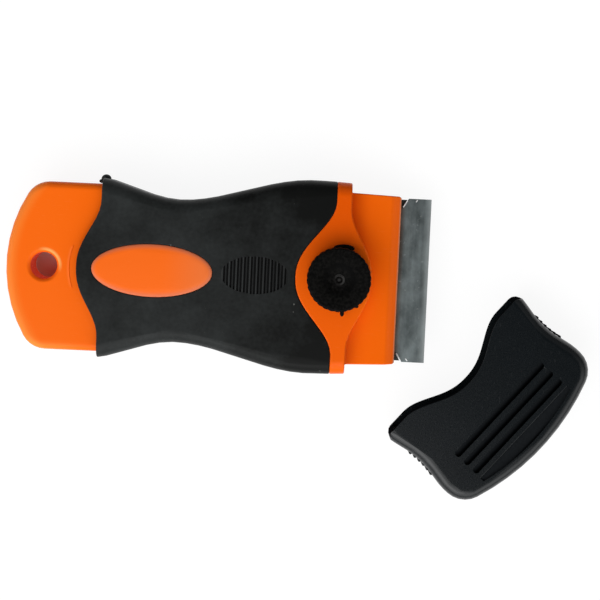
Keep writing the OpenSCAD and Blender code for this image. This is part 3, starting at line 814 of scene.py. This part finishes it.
deselect()
bpy.ops.mesh.primitive_cylinder_add(
    vertices=knob_corners, radius=knob_r, depth=knob_top - knob_low,
    location=knob_axis + Vector((0, 0, (knob_top + knob_low) / 2)))
knob = bpy.context.active_object
knob.name = "thumb_knob"
bpy.ops.object.transform_apply(location=True, rotation=True, scale=True)
bpy.ops.object.mode_set(mode="EDIT")
round_edges(knob, knob_rim, 4, lambda e: abs(e.verts[0].co.z - e.verts[1].co.z) < 0.01 * MM)
pick(knob, "FACE", lambda f: f.normal.z > 0.99)
bpy.ops.mesh.inset(thickness=knob_r - knob_rim - dish_r)
bpy.ops.mesh.inset(thickness=dish_slope, depth=-dish_floor)
bpy.ops.mesh.inset(thickness=dish_r - dish_slope - gate_r - gate_lip)
bpy.ops.mesh.inset(thickness=gate_lip, depth=dish_floor / 2)
bpy.ops.mesh.inset(thickness=gate_land)
bpy.ops.mesh.inset(thickness=gate_lip, depth=-dish_floor / 3)
print("knob has", len(bmesh.from_edit_mesh(knob.data).faces), "faces")

# %% Finger grooves
corners_per_groove = 6


def corner_number(point):
    turn = math.degrees(math.atan2(point.y - knob_axis.y, point.x - knob_axis.x))
    return round(turn * knob_corners / 360) % corners_per_groove


def on_rim(point):
    return (point - knob_axis).xy.length > knob_r - 0.2 * knob_rim


for number, draw in ((0, 0.982), (1, 0.991), (5, 0.991)):
    pick(knob, "VERT", lambda v: on_rim(v.co) and corner_number(v.co) == number)
    bpy.ops.transform.resize(value=(draw, draw, 1), center_override=knob_axis)
bpy.ops.object.mode_set(mode="OBJECT")
dress(knob, "knob", knob_black, "knob", smooth=40)

# %% [markdown]
# ## Flash
# Soft rubber creeps into the gap of a mould and leaves a small tag, here at the grip's upper rear
# corner. The knob has such tags at its rim. A long dark tag on the knob's upper side is a painted
# shadow, where the knob's shadow falls on the collar. Each tag is a sphere that is flattened,
# drawn out and set half into its piece.

# %% Flash tags
def flash_tag(name, place, size, body, finish):
    deselect()
    bpy.ops.mesh.primitive_uv_sphere_add(
        segments=20, ring_count=12, radius=1 * MM, location=(0, 0, 0))
    tag = bpy.context.active_object
    tag.name = name
    bpy.ops.object.mode_set(mode="EDIT")
    bpy.ops.mesh.select_all(action="SELECT")
    bpy.ops.transform.resize(value=size)
    bpy.ops.transform.translate(value=Vector(place) * MM)
    bpy.ops.object.mode_set(mode="OBJECT")
    dress(tag, body, finish, smooth=60)


for name, place, size in (
    ("grip_tag", (13.5, 21.0, 0.3), (1.2, 1.05, 1.2)),
    ("grip_tag_corner", (12.6, 20.4, 0.3), (0.8, 0.5, 0.8)),
):
    flash_tag(name, place, size, "handle", soft_grip)
for name, place, size in (
    ("knob_tag", (70.6, -7.9, 8.2), (0.5, 0.8, 0.35)),
    ("knob_tag_side", (73.9, -6.1, 8.2), (0.5, 0.5, 0.35)),
    # A painted shadow: this dark tag stands where the knob's shadow falls on the collar.
    ("knob_painted_shadow", (70.4, 7.3, 8.2), (2.5, 0.9, 0.35)),
):
    flash_tag(name, place, size, "knob", knob_black)

# %% [markdown]
# ## The raised line on the tail
# A fine moulded line runs beside the grip's rear edge. It is a small circle spun around the
# centre of that edge's curve, and half of it lies in the tail.

# %% Raised line
line_r, curve_r, tail_top = 0.16 * MM, 14.4 * MM, 5.4 * MM
sweep = math.radians(40)
centre = Vector((line_centre, 0, tail_top))
start = centre + Vector((-math.cos(sweep / 2), math.sin(sweep / 2), 0)) * curve_r
deselect()
bpy.ops.mesh.primitive_circle_add(
    vertices=12, radius=line_r, fill_type="NGON", location=start,
    rotation=(math.pi / 2, 0, sweep / 2))
line = bpy.context.active_object
line.name = "tail_line"
bpy.ops.object.transform_apply(location=True, rotation=True, scale=True)
bpy.ops.object.mode_set(mode="EDIT")
bpy.ops.mesh.select_all(action="SELECT")
bpy.ops.mesh.spin(steps=32, angle=-sweep, center=centre, axis=(0, 0, 1))
bpy.ops.mesh.select_all(action="SELECT")
bpy.ops.mesh.remove_doubles(threshold=0.001 * MM)
bpy.ops.mesh.normals_make_consistent(inside=False)
bpy.ops.object.mode_set(mode="OBJECT")
dress(line, "handle", orange_plastic, smooth=60)
print("line spans", [round(d / MM, 2) for d in line.dimensions], "mm")

# %% [markdown]
# ## The shell screws
# Four countersunk screws close the shells from below. Their solids are plain cones, so a cross
# shaped cutter takes the driver's recess out of each head with a Boolean modifier.

# %% Screws with a cross recess
cross_length, cross_width, cross_depth = 2.5, 0.55, 1.4
screws = clean_copy("shell_screws", "cross_screws")
bpy.ops.object.mode_set(mode="OBJECT")
for place in ((1.0, -13.5, -5.3), (1.0, 13.5, -5.3), (69.3, -11.4, -6.9), (69.3, 11.4, -6.9)):
    for sides in ((cross_length, cross_width), (cross_width, cross_length)):
        size = Vector((*sides, cross_depth)) * MM
        deselect()
        bpy.ops.mesh.primitive_cube_add(size=1, location=Vector(place) * MM, scale=size)
        cutter = bpy.context.active_object
        deselect()
        screws.select_set(True)
        bpy.context.view_layer.objects.active = screws
        bpy.ops.object.modifier_add(type="BOOLEAN")
        recess = screws.modifiers[-1]
        recess.operation, recess.object, recess.solver = "DIFFERENCE", cutter, "EXACT"
        bpy.ops.object.modifier_apply(modifier=recess.name)
        bpy.data.objects.remove(cutter)
dress(screws, "handle", fastener_zinc, "shell_screws")

# %% [markdown]
# ## Pieces that stay as they are
# The blade's spine and the clamp's bolt, washer and nut are folded or turned, with true flat and
# round faces, and they sit deep between the jaws. Their solids need nothing but a finish.

# %% Finishes on the remaining solids
for node, finish in {
    "blade_spine": blade_steel,
    "knob_bolt": fastener_zinc,
    "push_washer": fastener_zinc,
    "clamp_nut": fastener_zinc,
}.items():
    solid = frame["nodes"][node]
    solid.data.materials.clear()
    solid.data.materials.append(finish)
    print(node, "gets", finish.name)
